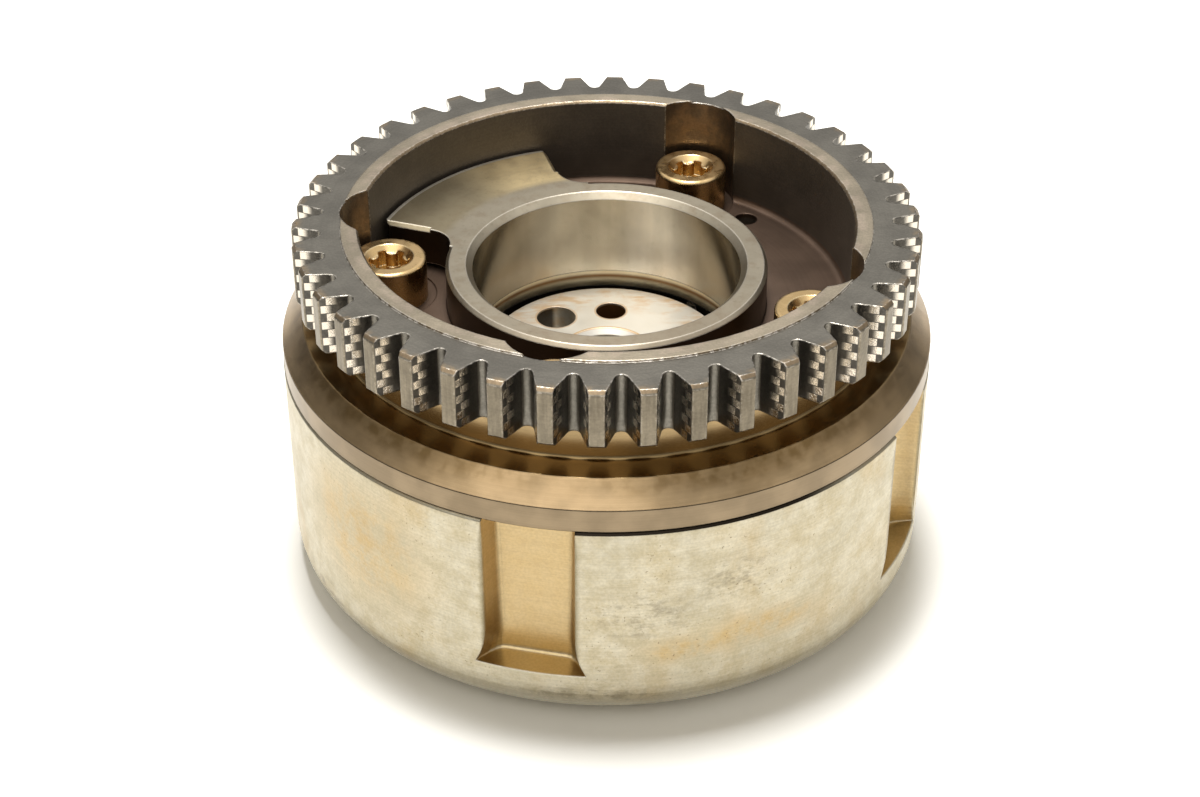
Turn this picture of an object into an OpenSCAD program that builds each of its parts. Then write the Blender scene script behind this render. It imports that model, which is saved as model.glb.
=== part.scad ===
// Vane-type cam phaser: chain sprocket with a dished back plate, cup housing with shoes,
// vane rotor, hub with a wide sector, cover bolts, sealing strips and a sprung lock pin.
// Millimetres. Z is the turning axis and the closed end of the cup stands at Z = 0.
// Radii build outwards from the camshaft bore, heights build upwards from the cup's floor.

/* [Hub and rotor] */
// Radius of the bore that takes the camshaft's nose
bore_r = 18.45; // [17:0.05:20]
// Wall of the hub ring around the bore
hub_wall = 3.65; // [3:0.05:5]
// Width of the rotor face outside the hub, which the sprocket's plate runs on
thrust_land = 1.3; // [1:0.1:2.5]
// Length of the rotor and its vanes
rotor_len = 24.45; // [20:0.05:32]
// Depth of the rotor's face below its back, where the camshaft seats
recess_depth = 2.1; // [1:0.1:4]
// Step from the bore out to the wall of that recess
recess_step = 0.4; // [0.3:0.05:0.6]
// Width of the ring-shaped oil groove around the seat, measured in from the bore
groove_w = 1.15; // [0.8:0.05:2]
// Depth of that groove below the seat
groove_depth = 3; // [2:0.1:5]
// Chamfer on the seat's edge beside that groove
seat_chamfer = 0.4; // [0.2:0.05:0.6]
// Radius of the hole for the camshaft bolt
cam_bolt_r = 5.5; // [4.5:0.05:6.5]
// Chamfer at the mouth of that hole
cam_bolt_mouth = 0.75; // [0.3:0.05:1]
// Radius of the pocket for the camshaft bolt's head
head_pocket_r = 12.5; // [10:0.1:14]
// Depth of that pocket
head_pocket_depth = 7.5; // [4:0.1:9]
// Radius of the camshaft dowel's hole
dowel_hole_r = 2.8; // [2:0.05:3]
// Distance of the dowel's hole from the axis
dowel_hole_circle = 11.5; // [10.5:0.1:13]
// Angle of the dowel's hole
dowel_hole_angle = 128.8; // [120:0.1:140]
// Depth of the dowel's hole
dowel_hole_depth = 6; // [3:0.1:8]
// Radius of the oil feed hole
oil_hole_r = 2.15; // [1.5:0.05:2.5]
// Distance of the oil feed hole from the axis
oil_hole_circle = 10.7; // [10:0.1:13]
// Angle of the oil feed hole
oil_hole_angle = 86.4; // [80:0.1:95]
// Radius of the oil ports beside the vanes
port_r = 1; // [0.6:0.05:1.3]
// Angle that a plain vane fills
vane_span = 20; // [16:0.5:23]
// Angle that the rotor swings through
swing = 28; // [22:0.5:30]

/* [Target hub] */
// Height of the hub's top above the dish floor
hub_stand = 6.15; // [5:0.05:9]
// Angle that the sector fills
sector_span = 55.6; // [40:0.1:57]
// Angle from the middle of the lock vane back to the middle of the sector
sector_lag = 1.9; // [0:0.1:4]
// Fillet between the sector's ends and the hub
sector_fillet = 4; // [2:0.1:5]
// Radius that the facets at the sector's outer corners lie on
sector_corner = 1; // [0.5:0.1:2]
// Chamfer on the top edges of the hub's outside and of the sector's ends
hub_chamfer = 0.5; // [0.2:0.05:0.8]
// Chamfer at the mouth of the bore
bore_chamfer = 0.9; // [0.4:0.05:1.2]
// Length of the skirt that is pressed into the rotor
skirt_len = 4; // [3:0.1:6]
// Wall of the skirt
skirt_wall = 1.3; // [1:0.05:1.6]

/* [Sprocket] */
// Number of teeth: with the sizes below the chain pitch comes to 6.35
teeth = 42; // [38:1:46]
// Angle of a tooth's middle
tooth_phase = 2.52; // [0:0.01:8.5]
// Depth of the tooth gaps
tooth_depth = 4.02; // [3:0.01:4.5]
// Rounding at the bottom of the gaps
root_round = 0.88; // [0.5:0.01:0.95]
// Rounding of the teeth's tips
tip_round = 0.25; // [0.1:0.01:0.5]
// Slope of the tooth flanks from the radius
flank_angle = 22; // [16:0.1:23]
// Width of the toothed ring along the axis
tooth_width = 8.5; // [6:0.1:12]
// Chamfer across both ends of each tooth tip
tip_chamfer = 0.55; // [0.2:0.05:0.8]
// Height of the toothed ring above the dish floor
tooth_lift = 4.5; // [3:0.1:8]
// Wall between the dish and the bottom of the tooth gaps
rim_wall = 5; // [4.2:0.05:7]
// Width of the flat lip around the dish
lip_w = 2.4; // [1.5:0.1:3]
// Height of that lip above the teeth
lip_h = 0.25; // [0.1:0.05:0.6]
// Chamfer on the lip's inner edge
lip_chamfer = 0.3; // [0.1:0.05:0.5]
// Step from the tooth gaps in to the neck below the teeth
neck_step = 0.6; // [0.2:0.05:0.8]
// Fillet at the foot of the neck
neck_fillet = 0.5; // [0.2:0.1:1.5]
// Thickness of the back plate
plate_thk = 6.65; // [5.5:0.05:9]
// Fillet around the dish floor
dish_fillet = 1; // [0.5:0.1:2]
// Width of the flange beyond the tooth tips
flange_w = 2.28; // [1.5:0.02:4]
// Height of the flange's outer rim
rim_h = 3.5; // [2.5:0.1:4.5]
// Width of the bevel on the flange
bevel_w = 2.9; // [1:0.1:3.2]
// Height of the bevel on the flange
bevel_h = 3; // [1.5:0.1:3.6]
// Radius of the blind locating hole in the dish floor
locate_r = 1.65; // [1:0.05:2]
// Angle of the locating hole
locate_angle = 47; // [40:0.5:50]
// Depth of the locating hole
locate_depth = 4; // [2:0.1:4.5]

/* [Housing cup] */
// Angles of the shoes, with their bolts and notches
shoe_angles = [65.5, 177.5, 257, 336]; // [0:0.5:360]
// Half of the angle that a shoe fills
shoe_half = 12; // [11:0.1:13]
// Thickness of the closed end
floor_thk = 7; // [5:0.1:10]
// Wall between the chambers and the outside
cup_wall = 5.5; // [5:0.1:7]
// Step from the flange's rim out to the cup
cup_step = 0.1; // [0:0.05:0.5]
// Rounding of the cup's outer bottom edge
cup_fillet = 6; // [3:0.1:6.5]
// Edge break where cup and flange meet
seam_chamfer = 0.3; // [0.1:0.05:0.5]
// Radius of the opening for the camshaft bolt in the closed end
opening_r = 15; // [13:0.1:17]
// Chamfer at the mouth of that opening
opening_chamfer = 0.6; // [0.2:0.1:1.5]
// Depth of the notches outside the shoes
notch_depth = 4.2; // [2:0.1:4.5]
// Height of the notches' ledge
ledge_z = 8.1; // [7:0.1:12]
// Width of a notch at the cup's surface
notch_w = 12.4; // [8:0.1:14]
// Width of a notch's floor
notch_floor_w = 9.6; // [6:0.1:10]
// Flare of a notch's sides at the ledge
notch_flare = 1.6; // [0:0.1:2]
// Height over which that flare runs out
flare_len = 5; // [3:0.1:8]
// Fillet between a notch's floor and its ledge
notch_fillet = 0.6; // [0.2:0.1:1]

/* [Bolts and pins] */
// Distance from the rotor's core to the bolts' axes
bolt_offset = 6.6; // [6.4:0.05:8]
// Distance from the bolts' axes to the dish wall
bolt_inset = 3.6; // [3:0.05:4.5]
// Nominal diameter of the bolts
bolt_d = 6; // [5:0.5:6]
// Diameter of the bolt heads
head_d = 10.3; // [8.5:0.1:10.6]
// Height of the bolt heads
head_h = 6.2; // [4:0.1:7]
// Length of the bolts below the head
bolt_len = 24; // [16:0.5:26]
// Radius of the six-lobe socket
socket_r = 2.8; // [2.2:0.05:3]
// Depth of that socket
socket_depth = 3; // [2:0.1:3.5]
// Room around the bolt heads in the dish wall
head_room = 1.2; // [0.8:0.05:1.5]
// Depth of the spot faces that the bolt heads sit on
spot_depth = 0.25; // [0.1:0.05:0.6]
// Diameter of the locating dowel
dowel_d = 3; // [2:0.1:4]
// Length of the locating dowel
dowel_len = 10; // [6:0.5:12]
// Distance from the bolts' axes to the dowel
dowel_offset = 6.4; // [6:0.1:7]
// Diameter of the lock pin
pin_d = 8; // [5:0.1:8.5]
// Length of the lock pin
pin_len = 12; // [10:0.1:14]
// Travel of the lock pin down from the plate
pin_travel = 1.2; // [0.5:0.1:2]
// Wall of the bush that the lock pin drops into
bush_wall = 1.8; // [1:0.1:2]
// Depth of that bush
bush_depth = 3.4; // [2:0.1:4.5]
// Wire of the lock pin's spring
wire_d = 0.7; // [0.4:0.05:0.9]
// Turns of the lock pin's spring
wire_turns = 6; // [4:1:7]

/* [Sealing strips] */
// Width of the strips
strip_w = 2.3; // [1.6:0.1:3]
// Height of the strips
strip_h = 1.9; // [1.4:0.1:2]
// Room for the leaf spring behind a strip
leaf_room = 0.8; // [0.5:0.05:0.8]
// Thickness of the leaf springs
leaf_thk = 0.2; // [0.1:0.05:0.25]
// Length of the leaf springs
leaf_len = 18; // [12:0.5:19]

/* [Fits] */
// Radial clearance of the hub in the sprocket's plate
journal_clear = 0.05; // [0.02:0.01:0.1]
// End clearance of the rotor, at each end
axial_clear = 0.05; // [0.02:0.01:0.1]
// Clearance of vane tips and shoe noses
tip_clear = 0.3; // [0.2:0.05:0.4]
// Clearance of the strips' working faces
strip_clear = 0.1; // [0.05:0.05:0.2]
// Clearance around the strips and leaf springs in their grooves
groove_clear = 0.05; // [0.02:0.01:0.1]
// Angle left between the lock vane and a shoe at each stop
stop_gap = 0.4; // [0.2:0.1:1]
// Clearance of the bolts' threads
thread_clear = 0.05; // [0.02:0.01:0.1]
// Clearance of the bolts in the plate
hole_clear = 0.3; // [0.1:0.05:0.5]
// Clearance of pressed dowel, bush and skirt
press_clear = 0.02; // [0.01:0.01:0.05]
// Radial clearance of the lock pin in its bore
pin_clear = 0.05; // [0.02:0.01:0.1]
// Clearance of the lock pin in its bush
bush_clear = 0.2; // [0.1:0.05:0.3]
// Clearance of the sector over the dish floor and inside the dish wall
sector_clear = 0.6; // [0.4:0.05:1]

/* [Hidden] */
$fn = 96;
// Overlap of cutting shapes past the faces that they cut
cut = 1;

// Radii
hub_r = bore_r + hub_wall;
core_r = hub_r + thrust_land;
bolt_circle = core_r + bolt_offset;
dish_r = bolt_circle + bolt_inset;
root_r = dish_r + rim_wall;
tip_r = root_r + tooth_depth;
neck_r = root_r - neck_step;
flange_r = tip_r + flange_w;
cup_r = flange_r + cup_step;
chamber_r = cup_r - cup_wall;
vane_r = chamber_r - tip_clear;
nose_r = core_r + tip_clear;
bolt_r = bolt_d / 2;
scallop_r = head_d / 2 + head_room;
sector_r = dish_r - sector_clear;
pin_circle = (core_r + vane_r) / 2;
pin_r = pin_d / 2;
bush_bore_r = pin_r + bush_clear;
bush_r = bush_bore_r + bush_wall;
seat_r = bore_r - groove_w;
recess_r = bore_r + recess_step;
skirt_r = (recess_r + hub_r + skirt_wall) / 2;

// Heights
rotor_z = floor_thk + axial_clear;
back_z = rotor_z + rotor_len;
plate_z = back_z + axial_clear;
seat_z = back_z - recess_depth;
dish_z = plate_z + plate_thk;
hub_z = dish_z + hub_stand;
tooth_z = dish_z + tooth_lift;
crown_z = tooth_z + tooth_width;
lip_z = crown_z + lip_h;
bolt_seat_z = dish_z - spot_depth;
bolt_top_z = bolt_seat_z + head_h;
bolt_end_z = bolt_seat_z - bolt_len;
pin_top_z = back_z - axial_clear;
pin_foot_z = pin_top_z - pin_len;
pin_bore_z = pin_foot_z - pin_travel - pin_clear;
pin_pocket_depth = pin_len * 2 / 3;
pin_pocket_r = pin_r * 0.72;

// Strips and their grooves
strip_groove_w = strip_w + 2 * groove_clear;
strip_groove_depth = strip_h + leaf_room;
strip_len = rotor_len - 2 * axial_clear;

// Chambers lie between one shoe and the next, with one vane in each
chambers = len(shoe_angles);
lock_chamber = 0;
function chamber_lo(i) = shoe_angles[i] + shoe_half;
function chamber_hi(i) =
    shoe_angles[(i + 1) % chambers] + (i == chambers - 1 ? 360 : 0) - shoe_half;
function vane_mid(i) = (chamber_lo(i) + chamber_hi(i)) / 2 + swing / 2;
function vane_width(i) =
    i == lock_chamber ? chamber_hi(i) - chamber_lo(i) - swing - 2 * stop_gap : vane_span;
lock_angle = vane_mid(lock_chamber);
sector_mid = lock_angle - sector_lag;

// A point at radius r and angle a
function polar(r, a) = [r * cos(a), r * sin(a)];
// Points of an arc about centre c
function arc(c, r, a0, a1, n) = [for (i = [0:n]) c + polar(r, a0 + (a1 - a0) * i / n)];

// Children moved out to radius r at angle a
module at(a, r = 0, z = 0) {
    rotate([0, 0, a]) translate([r, 0, z]) children();
}

// Sector of the plane between two angles, out past radius r
module wedge_2d(a0, a1, r) {
    steps = 6;
    reach = 1.3 * r;
    polygon(concat([[0, 0]], [for (i = [0:steps]) polar(reach, a0 + (a1 - a0) * i / steps)]));
}

// Solid skin through sections of equal point counts
module loft(sections) {
    n = len(sections[0]);
    m = len(sections);
    sides = [
        for (j = [0:m - 2]) for (i = [0:n - 1])
            let (k = (i + 1) % n)
            each [
                [j * n + i, (j + 1) * n + i, (j + 1) * n + k],
                [j * n + i, (j + 1) * n + k, j * n + k]
            ]
    ];
    caps = [[for (i = [0:n - 1]) i], [for (i = [n - 1:-1:0]) (m - 1) * n + i]];
    polyhedron(points = [for (s = sections) each s], faces = concat(sides, caps));
}

// One side of a tooth gap: round bottom, straight flank and rounded tip,
// as [distance along the pitch, height above the bottom]
tip_shift =
    (tip_round + (tooth_depth - tip_round - root_round * (1 - sin(flank_angle))) * sin(flank_angle))
    / cos(flank_angle) + root_round * cos(flank_angle);
gap_side = concat(
    arc([0, root_round], root_round, -90, -flank_angle, 4),
    arc([tip_shift, tooth_depth - tip_round], tip_round, 180 - flank_angle, 90, 3)
);

// Whole toothed outline, one gap after the other
module teeth_2d() {
    pitch_angle = 360 / teeth;
    far = len(gap_side) - 1;
    gap = concat(
        [for (i = [far:-1:1]) [-gap_side[i][0], gap_side[i][1]]],
        gap_side
    );
    polygon([
        for (t = [0:teeth - 1]) for (p = gap)
            let (r = root_r + p[1])
            polar(r, tooth_phase + (t + 0.5) * pitch_angle + p[0] / r * 180 / PI)
    ]);
}

// Toothed ring with its tips chamfered at both ends
module tooth_ring() {
    over = 0.5;
    low_r = tip_r - tip_chamfer;
    rise = tip_chamfer + over;
    intersection() {
        translate([0, 0, tooth_z]) linear_extrude(tooth_width) teeth_2d();
        rotate_extrude() polygon([
            [0, tooth_z],
            [low_r, tooth_z],
            [low_r + rise, tooth_z + rise],
            [low_r + rise, crown_z - rise],
            [low_r, crown_z],
            [0, crown_z]
        ]);
    }
}

// Back plate with rim, bevel and neck, turned as one profile
module plate_blank() {
    bevel_z = plate_z + rim_h + bevel_h;
    rotate_extrude() polygon(concat(
        [
            [0, plate_z],
            [flange_r - seam_chamfer, plate_z],
            [flange_r, plate_z + seam_chamfer],
            [flange_r, plate_z + rim_h],
            [flange_r - bevel_w, bevel_z]
        ],
        arc([neck_r + neck_fillet, bevel_z + neck_fillet], neck_fillet, -90, -180, 6),
        [[neck_r, tooth_z + cut], [0, tooth_z + cut]]
    ));
}

// Room inside the toothed ring, down to the dish floor
module dish_room() {
    rotate_extrude() polygon(concat(
        [[0, dish_z]],
        arc([dish_r - dish_fillet, dish_z + dish_fillet], dish_fillet, -90, 0, 5),
        [
            [dish_r, lip_z - lip_chamfer],
            [dish_r + lip_chamfer, lip_z],
            [dish_r + lip_chamfer, lip_z + cut],
            [0, lip_z + cut]
        ]
    ));
}

module sprocket() {
    color("#5b544c") difference() {
        union() {
            tooth_ring();
            plate_blank();
            translate([0, 0, crown_z - cut]) cylinder(r = dish_r + lip_w, h = cut + lip_h);
        }
        dish_room();
        translate([0, 0, plate_z - cut])
            cylinder(r = hub_r + journal_clear, h = plate_thk + 2 * cut);
        for (a = shoe_angles) {
            at(a, bolt_circle, bolt_seat_z) cylinder(r = scallop_r, h = lip_z - bolt_seat_z + cut);
            at(a, bolt_circle, plate_z - cut)
                cylinder(r = bolt_r + hole_clear, h = plate_thk + 2 * cut);
        }
        at(locate_angle, bolt_circle, dish_z - locate_depth)
            cylinder(r = locate_r, h = locate_depth + cut);
        at(shoe_angles[2], bolt_circle + dowel_offset, plate_z - cut)
            cylinder(r = dowel_d / 2 + press_clear, h = dowel_len / 2 + cut);
        at(lock_angle - swing, pin_circle, plate_z - cut)
            cylinder(r = bush_r + press_clear, h = bush_depth + cut);
    }
}

// Outline of the shoes' nose grooves and the vanes' tip grooves
module strip_groove_2d(r0, r1) {
    translate([r0, -strip_groove_w / 2]) square([r1 - r0, strip_groove_w]);
}

// Inside of the cup: chambers, the rotor's core and the grooves in the shoes
module cup_room_2d() {
    difference() {
        circle(r = chamber_r);
        for (a = shoe_angles) difference() {
            wedge_2d(a - shoe_half, a + shoe_half, chamber_r);
            circle(r = nose_r);
            rotate(a) strip_groove_2d(0, nose_r + strip_groove_depth);
        }
    }
}

// Notch outside a shoe: flat floor, sides that curve out, a flare and a fillet at the ledge
module notch_cutter() {
    reach = 1.35;
    narrowing = 0.6;
    shares = [0, 0.03, 0.12, 0.3, 0.6, 1, reach];
    heel_steps = 3;
    flare_shares = [0.26, 0.42, 0.64, 1];
    top = plate_z + cut;
    function flare(z) = pow(max(0, 1 - (z - ledge_z) / flare_len), 2);
    function heel(z) =
        let (short = max(0, notch_fillet - (z - ledge_z)))
        notch_fillet - sqrt(notch_fillet * notch_fillet - short * short);
    function side(z) = [
        for (s = shares)
            let (depth = notch_depth - heel(z))
            let (inner = notch_floor_w / 2 - narrowing * (top - z) / (top - ledge_z))
            let (outer = notch_w / 2 + notch_flare * flare(z))
            [cup_r + depth * (s - 1), inner + (outer - inner) * sqrt(s)]
    ];
    heel_heights = [for (i = [0:heel_steps]) notch_fillet * (1 - cos(90 * i / heel_steps))];
    flare_heights = [for (s = flare_shares) flare_len * s];
    loft([
        for (z = concat([for (h = concat(heel_heights, flare_heights)) ledge_z + h], [top]))
            let (half = side(z), far = len(half) - 1)
            concat(
                [for (i = [far:-1:0]) [half[i][0], half[i][1], z]],
                [for (p = half) [p[0], -p[1], z]]
            )
    ]);
}

module housing_cup() {
    color("#cfc3a6") difference() {
        rotate_extrude() polygon(concat(
            [[opening_r, opening_chamfer], [opening_r + opening_chamfer, 0]],
            arc([cup_r - cup_fillet, cup_fillet], cup_fillet, -90, 0, 10),
            [
                [cup_r, plate_z - seam_chamfer],
                [cup_r - seam_chamfer, plate_z],
                [opening_r, plate_z]
            ]
        ));
        translate([0, 0, floor_thk])
            linear_extrude(plate_z - floor_thk + cut) cup_room_2d();
        for (a = shoe_angles) {
            at(a) notch_cutter();
            at(a, bolt_circle, bolt_end_z - cut)
                cylinder(r = bolt_r, h = plate_z - bolt_end_z + 2 * cut);
        }
        at(shoe_angles[2], bolt_circle + dowel_offset, plate_z - dowel_len / 2)
            cylinder(r = dowel_d / 2 + press_clear, h = dowel_len / 2 + cut);
    }
}

// Six-lobe socket outline
module socket_2d() {
    lobes = 6;
    flute_circle = 1.09 * socket_r;
    flute_r = 0.34 * socket_r;
    difference() {
        circle(r = socket_r);
        for (i = [0:lobes - 1])
            rotate((i + 0.5) * 360 / lobes) translate([flute_circle, 0]) circle(r = flute_r);
    }
}

module cover_bolt() {
    round_r = 0.5;
    head_r = head_d / 2;
    shank_r = bolt_r - thread_clear;
    mouth_margin = 0.6;
    mouth_r = socket_r + mouth_margin;
    mouth_depth = 0.9;
    difference() {
        rotate_extrude() polygon(concat(
            [
                [0, bolt_end_z],
                [shank_r - round_r, bolt_end_z],
                [shank_r, bolt_end_z + round_r],
                [shank_r, bolt_seat_z],
                [head_r, bolt_seat_z]
            ],
            arc([head_r - round_r, bolt_top_z - round_r], round_r, 0, 90, 4),
            [[0, bolt_top_z]]
        ));
        translate([0, 0, bolt_top_z - socket_depth])
            linear_extrude(socket_depth + cut) socket_2d();
        translate([0, 0, bolt_top_z - mouth_depth])
            cylinder(r1 = mouth_r - mouth_depth, r2 = mouth_r + cut, h = mouth_depth + cut);
    }
}

module cover_bolts() {
    color("#c39a55") for (a = shoe_angles) at(a, bolt_circle) cover_bolt();
}

module locating_dowel() {
    color("#9a9a98") at(shoe_angles[2], bolt_circle + dowel_offset, plate_z - dowel_len / 2)
        cylinder(r = dowel_d / 2, h = dowel_len);
}

module lock_pin_bush() {
    color("#8d8d8a") at(lock_angle - swing, pin_circle, plate_z) difference() {
        cylinder(r = bush_r, h = bush_depth);
        translate([0, 0, -cut]) cylinder(r = bush_bore_r, h = bush_depth + 2 * cut);
    }
}

// Core and vanes, with the strips' grooves in the vane tips
module rotor_2d() {
    difference() {
        union() {
            circle(r = core_r);
            for (i = [0:chambers - 1]) intersection() {
                circle(r = vane_r);
                wedge_2d(vane_mid(i) - vane_width(i) / 2, vane_mid(i) + vane_width(i) / 2, vane_r);
            }
        }
        for (i = [0:chambers - 1])
            rotate(vane_mid(i)) strip_groove_2d(chamber_r - strip_clear - strip_groove_depth, chamber_r);
    }
}

// Radial oil drilling from radius r0 out through the core
module port(a, r0, z) {
    at(a, r0, z) rotate([0, 90, 0]) cylinder(r = port_r, h = core_r - r0 + cut, $fn = 32);
}

module rotor() {
    port_lead = 4;
    port_floor = 0.3;
    port_rise = 3.5;
    ring_port_z = seat_z - groove_depth + port_r + port_floor;
    core_port_z = rotor_z + head_pocket_depth + port_rise;
    color("#d8d2c2") difference() {
        translate([0, 0, rotor_z]) linear_extrude(rotor_len) rotor_2d();
        rotate_extrude() polygon([
            [seat_r, seat_z - groove_depth],
            [recess_r, seat_z - groove_depth],
            [recess_r, back_z + cut],
            [0, back_z + cut],
            [0, seat_z],
            [seat_r - seat_chamfer, seat_z],
            [seat_r, seat_z - seat_chamfer]
        ]);
        translate([0, 0, back_z - skirt_len - axial_clear]) difference() {
            cylinder(r = skirt_r + press_clear, h = skirt_len + axial_clear + cut);
            translate([0, 0, -cut])
                cylinder(r = skirt_r - skirt_wall - press_clear, h = skirt_len + 3 * cut);
        }
        translate([0, 0, rotor_z - cut]) cylinder(r = cam_bolt_r, h = rotor_len + 2 * cut);
        translate([0, 0, seat_z - cam_bolt_mouth])
            cylinder(r1 = cam_bolt_r, r2 = cam_bolt_r + cam_bolt_mouth + cut, h = cam_bolt_mouth + cut);
        translate([0, 0, rotor_z - cut]) cylinder(r = head_pocket_r, h = head_pocket_depth + cut);
        at(dowel_hole_angle, dowel_hole_circle, seat_z - dowel_hole_depth)
            cylinder(r = dowel_hole_r, h = dowel_hole_depth + cut, $fn = 48);
        at(oil_hole_angle, oil_hole_circle, core_port_z)
            cylinder(r = oil_hole_r, h = seat_z - core_port_z + cut, $fn = 48);
        for (i = [0:chambers - 1]) {
            port(vane_mid(i) + vane_width(i) / 2 + port_lead, seat_r + port_r, ring_port_z);
            port(vane_mid(i) - vane_width(i) / 2 - port_lead, cam_bolt_r / 2, core_port_z);
        }
        at(lock_angle, pin_circle, pin_bore_z) cylinder(r = pin_r + pin_clear, h = rotor_len);
        at(lock_angle, pin_circle, rotor_z - cut) cylinder(r = port_r, h = rotor_len);
    }
}

// Outline of the sector with facets at its outer corners and filleted roots
module sector_2d(r, core) {
    reach = core + sector_fillet;
    turn = asin(sector_fillet / reach);
    foot = sqrt(reach * reach - sector_fillet * sector_fillet);
    corner_turn = asin(sector_corner / (r - sector_corner));
    facet_turns = [30, 60];
    facet_reach = 4 * sector_corner;
    half = sector_span / 2;
    intersection() {
        circle(r = r);
        difference() {
            wedge_2d(-half, half, r);
            for (s = [-1, 1])
                rotate(s * (half - corner_turn)) translate([r - sector_corner, 0])
                    for (t = facet_turns)
                        rotate(s * t) translate([sector_corner, -facet_reach / 2]) square(facet_reach);
        }
    }
    for (s = [-1, 1]) difference() {
        polygon([
            [0, 0],
            polar(foot, s * (half - turn)),
            polar(foot, s * half),
            polar(reach, s * (half + turn)),
            polar(core - hub_wall / 2, s * (half + turn))
        ]);
        rotate(s * (half + turn)) translate([reach, 0]) circle(r = sector_fillet);
    }
}

// Room above the chamfers along the sector's ends
module sector_chamfers() {
    start = hub_r + sector_fillet;
    low = hub_chamfer + cut;
    for (s = [-1, 1])
        rotate([0, 0, s * sector_span / 2]) translate([start, 0, hub_z]) rotate([90, 0, 90])
            linear_extrude(sector_r - start + cut)
                polygon([[-s * low, cut], [s * cut, -low], [s * cut, cut]]);
}

module target_hub() {
    sector_z = dish_z + sector_clear;
    color("#b5a88c") difference() {
        union() {
            rotate_extrude() polygon([
                [bore_r - cut, back_z],
                [hub_r, back_z],
                [hub_r, hub_z - hub_chamfer],
                [hub_r - hub_chamfer, hub_z],
                [bore_r - cut, hub_z]
            ]);
            rotate([0, 0, sector_mid]) difference() {
                translate([0, 0, sector_z])
                    linear_extrude(hub_z - sector_z) sector_2d(sector_r, hub_r);
                sector_chamfers();
            }
            translate([0, 0, back_z - skirt_len]) difference() {
                cylinder(r = skirt_r, h = skirt_len + cut);
                translate([0, 0, -cut]) cylinder(r = skirt_r - skirt_wall, h = skirt_len + 3 * cut);
            }
        }
        translate([0, 0, back_z - cut]) cylinder(r = bore_r, h = hub_z - back_z + 2 * cut);
        translate([0, 0, hub_z - bore_chamfer])
            cylinder(r1 = bore_r, r2 = bore_r + bore_chamfer + cut, h = bore_chamfer + cut);
    }
}

module lock_pin() {
    nose = 0.6;
    color("#8a8a88") at(lock_angle, pin_circle) difference() {
        rotate_extrude() polygon([
            [0, pin_foot_z],
            [pin_r, pin_foot_z],
            [pin_r, pin_top_z - nose],
            [pin_r - nose, pin_top_z],
            [0, pin_top_z]
        ]);
        translate([0, 0, pin_foot_z - cut]) cylinder(r = pin_pocket_r, h = pin_pocket_depth + cut);
    }
}

// Coil spring from the bottom of the pin's bore up into the pin
module lock_pin_spring() {
    sides = 8;
    ring_step = 24;
    wire_r = wire_d / 2;
    coil_clear = 0.25;
    coil_r = pin_pocket_r - wire_r - coil_clear;
    low = pin_bore_z + pin_clear + wire_r;
    high = pin_foot_z + pin_pocket_depth - pin_clear - wire_r;
    steps = wire_turns * 360 / ring_step;
    color("#77776f") at(lock_angle, pin_circle) loft([
        for (i = [0:steps])
            let (a = i * ring_step, z = low + (high - low) * i / steps)
            [
                for (k = [0:sides - 1])
                    let (r = coil_r + wire_r * cos(k * 360 / sides))
                    [r * cos(a), r * sin(a), z + wire_r * sin(k * 360 / sides)]
            ]
    ]);
}

// Leaf spring along Z: its ends lie at X = 0 and its middle bows out to X = bow
module leaf_spring(bow) {
    rise = bow - leaf_thk;
    bend_r = leaf_len * leaf_len / 8 / rise + rise / 2;
    half = asin(leaf_len / 2 / bend_r);
    width = strip_w - 2 * groove_clear;
    translate([rise - bend_r, 0, rotor_z + rotor_len / 2]) rotate([90, 0, 0]) rotate([0, 0, -half])
        rotate_extrude(angle = 2 * half)
            translate([bend_r, -width / 2]) square([leaf_thk, width]);
}

// Sealing strip between two radii, its working face turned to radius face_r
module strip(inner_r, outer_r, face_r) {
    translate([0, 0, rotor_z + axial_clear]) linear_extrude(strip_len) intersection() {
        translate([inner_r, -strip_w / 2]) square([outer_r - inner_r, strip_w]);
        difference() {
            circle(r = max(face_r, outer_r + cut));
            if (face_r < outer_r) circle(r = face_r);
        }
    }
}

module vane_seal(i) {
    face_r = chamber_r - strip_clear;
    color("#4a4a4c") rotate([0, 0, vane_mid(i)]) strip(face_r - strip_h, face_r, face_r);
}

module vane_seal_spring(i) {
    floor_r = chamber_r - strip_clear - strip_groove_depth;
    color("#8a8a80") at(vane_mid(i), floor_r + groove_clear) leaf_spring(leaf_room - 2 * groove_clear);
}

module shoe_seal(i) {
    face_r = core_r + strip_clear;
    color("#4a4a4c") rotate([0, 0, shoe_angles[i]]) strip(face_r - cut, face_r + strip_h, face_r);
}

module shoe_seal_spring(i) {
    floor_r = nose_r + strip_groove_depth;
    color("#8a8a80") at(shoe_angles[i], floor_r - groove_clear) mirror([1, 0, 0])
        leaf_spring(leaf_room - 2 * groove_clear);
}

sprocket();
housing_cup();
cover_bolts();
locating_dowel();
lock_pin_bush();
rotor();
target_hub();
lock_pin();
lock_pin_spring();
for (i = [0:chambers - 1]) {
    vane_seal(i);
    vane_seal_spring(i);
    shoe_seal(i);
    shoe_seal_spring(i);
}
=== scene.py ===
"""Finishes, studio and camera for a vane-type cam phaser.

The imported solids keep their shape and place: each operator gives one piece, or one group of
like pieces, the surface of its real material. Lengths in the materials are millimetres.
"""

import math

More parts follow.
